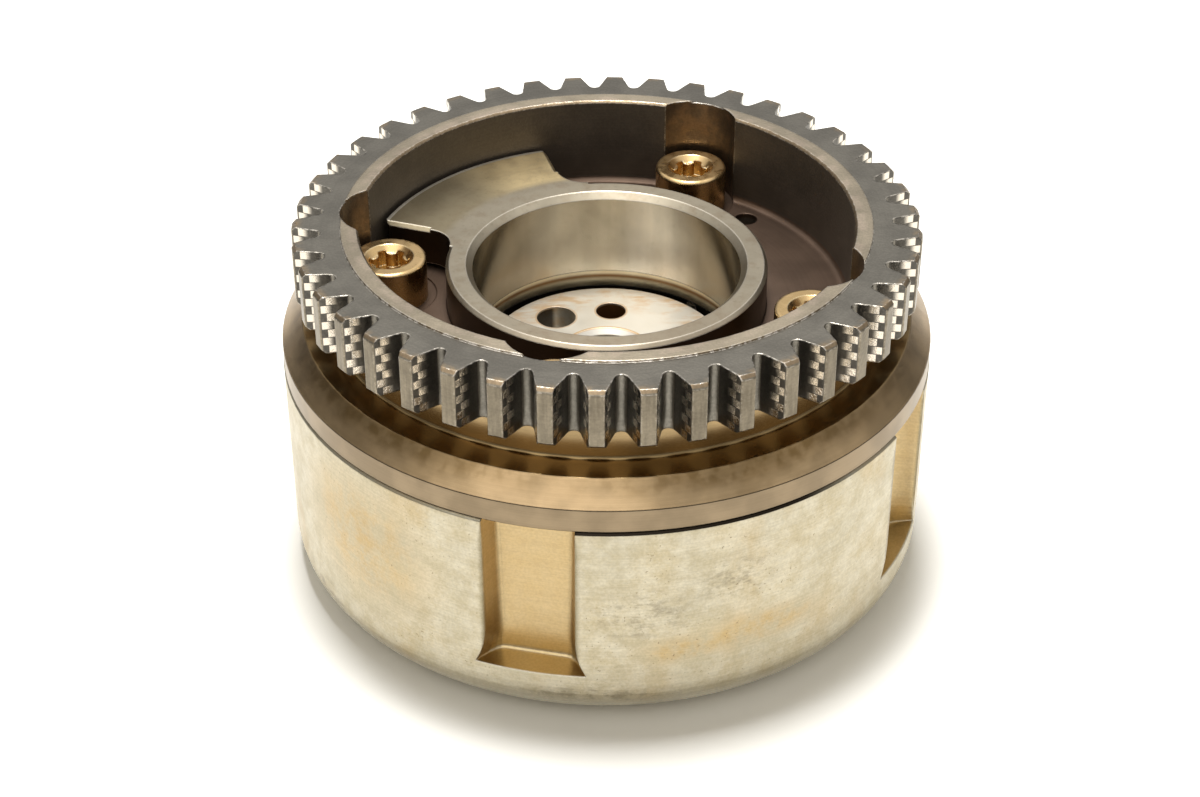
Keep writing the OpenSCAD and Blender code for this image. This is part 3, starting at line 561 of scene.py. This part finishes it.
def hub_steel(look):
    """Turned steel with a satin face and a polished bore, browned by oil in patches, golden at the
    sector's end as a painted sheen and black with oil on its outside walls. The bore has painted
    reflections: a bright band, darker sides and faint streaks. A painted highlight runs along the
    sector's outer arc, and broken edges are worn bright with a painted highlight along them."""
    material, tree = new_material("turned_steel_satin")
    point, radius, angle, height, up = places(tree)
    rounded, edge = edges(tree, 0.3)
    flat, wall = level(tree, up), upright(tree, up)

    # Turning marks are drawn coarser than real ones, so that they show
    turning = grain(tree, put(tree, "ShaderNodeCombineXYZ", {0: radius}), 0.5, detail=2)
    cloud = grain(tree, point, 6.0, detail=4)
    blotch = grain(tree, point, 2.2, detail=9, low=0.44, high=0.7, gritty=0.65)
    speck = grain(tree, point, 0.5, low=0.58, high=0.72)
    bore_wall = unrolled(tree, angle, height, BORE_R)
    # Painted reflection streaks along the bore
    bore_reflection_streaks = grain(tree, bore_wall, 2.583, detail=4, low=0.4, high=0.6, stretch=(1, 0.0369, 1))

    bore = overlap(tree, wall, band(tree, radius, None, BORE_R + 0.15, 0.05))
    # Painted reflections in the bore: a bright band at one angle and darker sides
    bore_highlight = overlap(tree, bore, sweep(tree, angle, 52, 80, 6.9))
    sides = paint(tree, 0.0, [
        (sweep(tree, angle, 122, 190, 17.2), 1.0), (sweep(tree, angle, -60, 46, 11.5), 1.0)], "FLOAT")
    outer = overlap(tree, wall, band(tree, radius, HUB_R - 2.1, None, 0.3))
    front = sweep(tree, angle, -125, -40, 22.9)
    sector = band(tree, radius, HUB_R + 1.4, None, 1.0)
    # Painted sheen: the sector turns golden towards its end nearest the back
    golden = overlap(tree, sector, sweep(tree, angle, 95, 128, 11.5))
    # Painted highlight along the sector's outer arc
    arc_highlight = overlap(tree, flat, band(tree, radius, SECTOR_R - 0.5, None, 0.08))

    colour = paint(tree, look.metal, [
        (overlap(tree, blotch, 0.4), look.brown), (overlap(tree, front, 0.35), look.brown),
        (overlap(tree, sector, 0.8), look.olive), (golden, look.stain),
        (overlap(tree, sector, blotch, 0.25), look.brown), (overlap(tree, arc_highlight, 0.8), look.edge),
        (outer, look.outer), (bore, look.bore), (overlap(tree, bore, sides, 0.8), look.film),
        (overlap(tree, bore_highlight, 0.9), look.edge), (overlap(tree, bore, bore_reflection_streaks, 0.15), look.film)])
    colour = shade(tree, colour, cloud, 0.9, 1.06)
    colour = shade(tree, colour, speck, 1.0, 0.88)
    # Broken edges are worn bright, with a painted highlight along them
    colour = paint(tree, colour, [(overlap(tree, edge, 0.8), look.edge)])
    rough = paint(tree, 0.4, [(cloud, 0.34), (bore, 0.26)], "FLOAT")
    turned = paint(tree, 0.3, [(bore, 0.85)], "FLOAT")
    metal(tree, colour, rough, rounded, bumps=turning, depth=0.003, turned=turned)
    return material


def rotor_steel(look):
    """Ground bright steel, cream-white in soft light, with golden oil rings around its holes, a
    golden recess, and painted shade that darkens the ring groove and one side of the dowel hole.
    Broken edges are worn bright with a painted highlight along them."""
    material, tree = new_material("ground_steel_bright")
    point, radius, _, height, _ = places(tree)
    rounded, edge = edges(tree, 0.2)
    cloud = grain(tree, point, 3.0, detail=4)
    fine = grain(tree, point, 1.6, detail=6, gritty=0.6, stretch=(0.5, 1.6, 1))
    on_seat = band(tree, height, SEAT - 0.15, SEAT + 0.1, 0.05)
    below_seat = band(tree, height, None, SEAT - 0.3, 0.1)

    flat = put(tree, "ShaderNodeVectorMath", {0: point, 1: (1, 1, 0)}, operation="MULTIPLY")
    middles, away, rings = {}, {}, []
    for hole, (circle, turn, hole_r, strength) in HOLES.items():
        middle = (circle * math.cos(math.radians(turn)), circle * math.sin(math.radians(turn)), 0)
        middles[hole] = middle
        away[hole] = put(tree, "ShaderNodeVectorMath", {0: flat, 1: middle}, out=1, operation="DISTANCE")
        mouth = band(tree, away[hole], hole_r - 0.1, hole_r + 0.25, 0.15)
        rings.append(overlap(tree, mouth, on_seat, strength))
    oil_hole = overlap(tree, band(tree, away["oil"], None, HOLES["oil"][2] + 0.15, 0.02), below_seat)
    x = put(tree, "ShaderNodeSeparateXYZ", {0: point}, out=0)
    # Painted shade inside the dowel hole, on its left side
    hole_shade = overlap(tree, band(tree, away["dowel"], None, HOLES["dowel"][2] + 0.2, 0.2),
                   band(tree, x, None, middles["dowel"][0] - 0.4, 0.4), below_seat)

    wiped = overlap(tree, band(tree, radius, BORE_R - 6.45, BORE_R - 0.45, 2.5), fine, cloud)
    recess = overlap(tree, band(tree, radius, BORE_R + 0.05, BORE_R + 0.75, 0.05),
                     band(tree, height, SEAT - 0.6, SEAT + 2.2, 0.05))
    stripe = overlap(tree, recess, band(tree, height, SEAT + 0.7, SEAT + 1.3, 0.3))
    # Painted shade: the ring groove is painted near black
    groove = overlap(tree, band(tree, radius, BORE_R - 1.25, BORE_R + 0.55, 0.03),
                     band(tree, height, SEAT - 9.4, SEAT - 0.6, 0.15))

    colour = paint(tree, look.metal, [
        *((ring, look.stain) for ring in rings), (overlap(tree, wiped, 0.6), look.stain),
        (oil_hole, look.hole), (overlap(tree, hole_shade, 0.9), look.groove), (recess, look.recess),
        # Broken edges are worn bright, with a painted highlight along them
        (overlap(tree, stripe, 0.9), look.hole), (groove, look.groove), (overlap(tree, edge, 0.5), look.edge),
    ])
    rough = paint(tree, 0.36, [(cloud, 0.44)], "FLOAT")
    filmed = paint(tree, 0.65, [(recess, 0.95)], "FLOAT")
    metal(tree, colour, rough, rounded, bumps=cloud, depth=0.004, metallic=filmed)
    return material


def bolt_zinc(look):
    """Zinc plate passivated yellow: a glossy gold skin that turns browner in the recesses and pale
    where a wrench has rubbed it."""
    material, tree = new_material("steel_zinc_plated_yellow")
    point, _, _, height, _ = places(tree)
    rounded, edge = edges(tree, 0.3)
    cloud = grain(tree, point, 1.6)
    deep = band(tree, height, None, BOLT_TOP - 1.2, 0.3)
    colour = paint(tree, look.zinc, [
        (overlap(tree, cloud, 0.45), look.deep), (overlap(tree, deep, 0.7), look.deep),
        (overlap(tree, edge, 0.8), look.pale),
    ])
    rough = paint(tree, 0.34, [(cloud, 0.22)], "FLOAT")
    metal(tree, colour, rough, rounded, bumps=cloud, depth=0.003)
    return material


def pin_steel(look):
    """Hardened and ground steel: cool grey with fine grinding marks around."""
    material, tree = new_material("hardened_steel_ground")
    rounded, edge = edges(tree, 0.15)
    marks = grain(tree, places(tree)[0], 1.0, stretch=(0.3, 0.3, 6))
    colour = paint(tree, look.pin, [(overlap(tree, edge, 0.5), look.pin_edge)])
    rough = paint(tree, 0.18, [(marks, 0.32)], "FLOAT")
    metal(tree, colour, rough, rounded)
    return material


def spring_wire(look):
    """Drawn spring steel: a smooth grey skin, a little duller in patches."""
    material, tree = new_material("spring_steel_drawn")
    marks = grain(tree, places(tree)[0], 0.8)
    colour = shade(tree, look.spring[:3], marks, 0.85, 1.1)
    rough = paint(tree, 0.25, [(marks, 0.4)], "FLOAT")
    metal(tree, colour, rough, put(tree, "ShaderNodeNewGeometry", out=1))
    return material


def strip_plastic(look):
    """Graphite-filled plastic, machined: dark grey, dull, with a faint grain."""
    material, tree = new_material("graphite_filled_plastic_machined")
    marks = grain(tree, places(tree)[0], 0.6)
    colour = shade(tree, look.strip[:3], marks, 0.85, 1.15)
    rough = paint(tree, 0.5, [(marks, 0.65)], "FLOAT")
    skin = put(tree, "ShaderNodeBsdfPrincipled", {"Base Color": colour, "Roughness": rough})
    put(tree, "ShaderNodeOutputMaterial", {"Surface": skin})
    return material


def background_rays(tree):
    """1 for the rays that show the background: from the camera, off metal and through glass, but not
    for those that go on from a matt surface and only carry light."""
    seen = put(tree, "ShaderNodeLightPath", out="Is Camera Ray")
    for name in ("Is Glossy Ray", "Is Transmission Ray"):
        other = put(tree, "ShaderNodeLightPath", out=name)
        seen = put(tree, "ShaderNodeMath", {0: seen, 1: other}, operation="MAXIMUM")
    carried = put(tree, "ShaderNodeLightPath", out="Diffuse Depth")
    return put(tree, "ShaderNodeMath", {0: seen, 1: carried}, operation="SUBTRACT", use_clamp=True)


def floor_sheet(look):
    """Matt white paper sheet, brighter where it is seen so that it reads as a white ground and keeps
    the object's shadow."""
    material, tree = new_material("paper_sheet_matt")
    colour = shade(tree, look.floor[:3], background_rays(tree), 1.0, look.gain)
    skin = put(tree, "ShaderNodeBsdfPrincipled", {
        "Base Color": colour, "Roughness": 0.9, "Specular IOR Level": 0.1})
    put(tree, "ShaderNodeOutputMaterial", {"Surface": skin})
    return material


def studio_sky(look):
    """A white tent around the floor: dimmer towards the horizon, brightest at a window on the front
    left, and plain white behind the object."""
    world = bpy.data.worlds.new("studio")
    world.use_nodes = True
    tree = world.node_tree
    tree.nodes.clear()
    direction = put(tree, "ShaderNodeTexCoord", out=0)
    zenith = (0.06, 0, 1)
    rise = put(tree, "ShaderNodeVectorMath", {0: direction, 1: zenith}, out=1, operation="DOT_PRODUCT")
    towards = put(tree, "ShaderNodeVectorMath", {0: direction, 1: look.window}, out=1,
                  operation="DOT_PRODUCT")

    # The room lights matt surfaces, and metal shows the tent and its window
    room = put(tree, "ShaderNodeMapRange", {0: rise, 1: 0.0, 2: 0.6, 3: 0.1, 4: 0.36},
               interpolation_type="SMOOTHSTEP")
    tent = put(tree, "ShaderNodeMapRange", {0: rise, 1: 0.24, 2: 0.66, 3: 0.3, 4: 1.0},
               interpolation_type="SMOOTHSTEP")
    window = put(tree, "ShaderNodeMapRange", {0: towards, 1: 0.78, 2: 0.98, 3: 0.0, 4: 1.2},
                 interpolation_type="SMOOTHSTEP")
    mirrored = put(tree, "ShaderNodeMath", {0: tent, 1: window}, operation="ADD")
    seen = background_rays(tree)
    strength = paint(tree, room, [
        (seen, mirrored), (put(tree, "ShaderNodeLightPath", out="Is Camera Ray"), 1.0)], "FLOAT")
    colour = paint(tree, look.fill, [(seen, look.tent)])
    sky = put(tree, "ShaderNodeBackground", {"Color": colour, "Strength": strength})
    put(tree, "ShaderNodeOutputWorld", {"Surface": sky})
    return world


def facing(direction):
    """The turn of a lamp or camera that looks that way."""
    return direction.to_track_quat("-Z", "Y").to_euler()


class PHASER_OT_sprocket(bpy.types.Operator):
    """Give the sprocket its oil-browned steel"""

    bl_idname = "phaser.sprocket"
    bl_label = "Sprocket"

    def execute(self, context):
        dress(["sprocket"], sprocket_steel(context.scene.phaser_sprocket))
        return {"FINISHED"}


class PHASER_OT_housing_cup(bpy.types.Operator):
    """Give the housing cup its satin metal"""

    bl_idname = "phaser.housing_cup"
    bl_label = "Housing cup"

    def execute(self, context):
        dress(["housing_cup"], cup_metal(context.scene.phaser_cup))
        return {"FINISHED"}


class PHASER_OT_target_hub(bpy.types.Operator):
    """Give the target hub its turned steel"""

    bl_idname = "phaser.target_hub"
    bl_label = "Target hub"

    def execute(self, context):
        dress(["target_hub"], hub_steel(context.scene.phaser_hub))
        return {"FINISHED"}


class PHASER_OT_rotor(bpy.types.Operator):
    """Give the rotor its ground steel"""

    bl_idname = "phaser.rotor"
    bl_label = "Rotor"

    def execute(self, context):
        dress(["rotor"], rotor_steel(context.scene.phaser_rotor))
        return {"FINISHED"}


class PHASER_OT_cover_bolts(bpy.types.Operator):
    """Give the cover bolts their yellow zinc plate"""

    bl_idname = "phaser.cover_bolts"
    bl_label = "Cover bolts"

    def execute(self, context):
        dress(["cover_bolts"], bolt_zinc(context.scene.phaser_bolts))
        return {"FINISHED"}


class PHASER_OT_pins(bpy.types.Operator):
    """Give lock pin, bush and dowel their ground steel"""

    bl_idname = "phaser.pins"
    bl_label = "Pins and bush"

    def execute(self, context):
        dress(PINS, pin_steel(context.scene.phaser_small))
        return {"FINISHED"}


class PHASER_OT_springs(bpy.types.Operator):
    """Give the springs their drawn steel, and weld the lock pin's coil into one mesh in place of the imported
    one
    """

    bl_idname = "phaser.springs"
    bl_label = "Springs"

    def execute(self, context):
        wire = spring_wire(context.scene.phaser_small)
        dress([*LEAVES, COIL], wire)
        welded = bmesh.new()
        welded.from_mesh(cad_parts[COIL].data)
        bmesh.ops.remove_doubles(welded, verts=welded.verts, dist=WELD)
        mesh = bpy.data.meshes.new("lock_pin_coil")
        welded.to_mesh(mesh)
        welded.free()
        mesh.materials.append(wire)
        coil = bpy.data.objects.new("lock_pin_coil", mesh)
        context.collection.objects.link(coil)
        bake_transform(coil)
        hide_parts(COIL)
        return {"FINISHED"}


class PHASER_OT_seals(bpy.types.Operator):
    """Give the sealing strips their filled plastic"""

    bl_idname = "phaser.seals"
    bl_label = "Sealing strips"

    def execute(self, context):
        dress(SEALS, strip_plastic(context.scene.phaser_small))
        return {"FINISHED"}


class PHASER_OT_stage(bpy.types.Operator):
    """Set up the floor, the soft light and the camera"""

    bl_idname = "phaser.stage"
    bl_label = "Stage"

    def execute(self, context):
        look = context.scene.phaser_stage
        bpy.ops.object.select_all(action="DESELECT")
        bpy.ops.mesh.primitive_plane_add(size=look.floor_size, location=(0, 0, -look.floor_drop))
        floor = context.object
        floor.name = "floor"
        floor.data.materials.append(floor_sheet(look))
        context.scene.world = studio_sky(look)

        bpy.ops.object.light_add(type="AREA", location=look.box)
        lamp = context.object
        lamp.name = "overhead"
        lamp.data.energy = look.overhead
        lamp.data.size = look.box_size
        lamp.rotation_euler = facing(-Vector(look.box))

        bpy.ops.object.camera_add(location=look.camera)
        camera = context.object
        camera.rotation_euler = facing(Vector(look.aim) - Vector(look.camera))
        camera.data.lens = look.lens
        camera.data.sensor_width = look.sensor
        camera.data.sensor_fit = "HORIZONTAL"
        camera.data.clip_start = look.near
        context.scene.camera = camera
        context.scene.view_settings.view_transform = "Standard"
        return {"FINISHED"}


OPERATORS = (
    PHASER_OT_sprocket, PHASER_OT_housing_cup, PHASER_OT_target_hub, PHASER_OT_rotor,
    PHASER_OT_cover_bolts, PHASER_OT_pins, PHASER_OT_springs, PHASER_OT_seals, PHASER_OT_stage,
)


class PHASER_PT_panel(bpy.types.Panel):
    """Sidebar list of the finishes"""

    bl_idname = "PHASER_PT_panel"
    bl_label = "Cam Phaser"
    bl_space_type = "VIEW_3D"
    bl_region_type = "UI"
    bl_category = "Cam Phaser"

    def draw(self, context):
        for operator in OPERATORS:
            self.layout.operator(operator.bl_idname)


def register():
    for group in LOOKS.values():
        bpy.utils.register_class(group)
    for name, group in LOOKS.items():
        setattr(bpy.types.Scene, name, bpy.props.PointerProperty(type=group))
    for operator in OPERATORS:
        bpy.utils.register_class(operator)
    bpy.utils.register_class(PHASER_PT_panel)


def unregister():
    bpy.utils.unregister_class(PHASER_PT_panel)
    for operator in reversed(OPERATORS):
        bpy.utils.unregister_class(operator)
    for name, group in LOOKS.items():
        delattr(bpy.types.Scene, name)
        bpy.utils.unregister_class(group)


def main():
    register()
    for operator in OPERATORS:
        group, name = operator.bl_idname.split(".")
        getattr(getattr(bpy.ops, group), name)()


if __name__ == "__main__":
    main()
